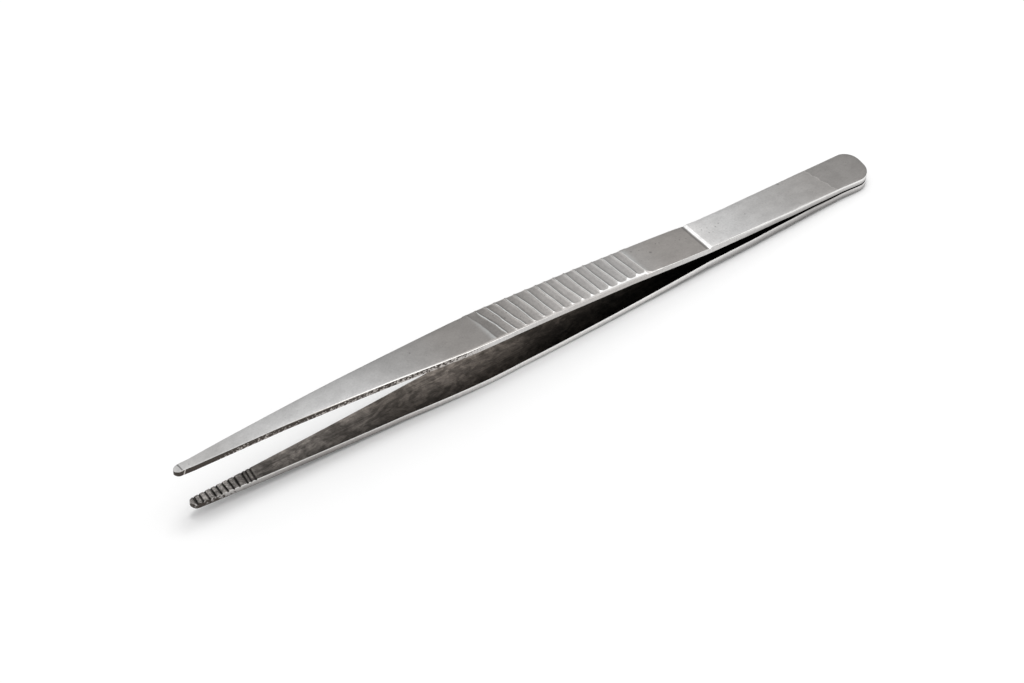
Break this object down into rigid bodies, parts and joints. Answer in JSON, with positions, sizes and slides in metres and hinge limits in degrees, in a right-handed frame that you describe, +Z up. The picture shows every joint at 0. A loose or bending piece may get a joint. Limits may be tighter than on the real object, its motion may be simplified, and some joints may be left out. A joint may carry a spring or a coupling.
{
  "type": "thumb forceps",
  "caption": "Large steel thumb forceps: two sprung arms welded at the butt, fluted thumb grips, tapered noses with cross-serrated tips.",
  "frame": {"origin": "middle of the bounding box in X and Y, at the height of the surface the tool lies on", "axes": "+X from the tips to the butt, +Y across the width of the arms, +Z up; the tool lies on its lower arm, on the belly and the butt edge"},
  "size_m": [0.144, 0.0082, 0.0121],
  "materials": {
    "arm_steel": "satin ground stainless steel, hand-finished, rough inside",
    "heel_steel": "satin stainless steel",
    "weld_steel": "dull fused steel"
  },
  "bodies": {
    "heel": {"upper_heel": "heel_steel", "lower_heel": "heel_steel", "heel_weld": "weld_steel"},
    "upper_arm": {"upper_tip": "arm_steel", "upper_nose": "arm_steel", "upper_grip": "arm_steel", "upper_shank": "arm_steel"},
    "lower_arm": {"lower_tip": "arm_steel", "lower_nose": "arm_steel", "lower_grip": "arm_steel", "lower_shank": "arm_steel"}
  },
  "joints": [
    {"name": "upper_arm_flex", "type": "hinge", "parent": "heel", "child": "upper_arm", "pos_m": [0.03311, 0, 0.00385], "axis": [0, -1, 0], "range_deg": [0, 2.1], "stiffness_Nm_per_rad": 3.1},
    {"name": "lower_arm_flex", "type": "hinge", "parent": "heel", "child": "lower_arm", "pos_m": [0.03303, 0, 0.00195], "axis": [0, 1, 0], "range_deg": [0, 2.1], "stiffness_Nm_per_rad": 3.1}
  ],
  "couplings": [
    {"joint": "lower_arm_flex", "follows": "upper_arm_flex", "ratio": 1}
  ]
}
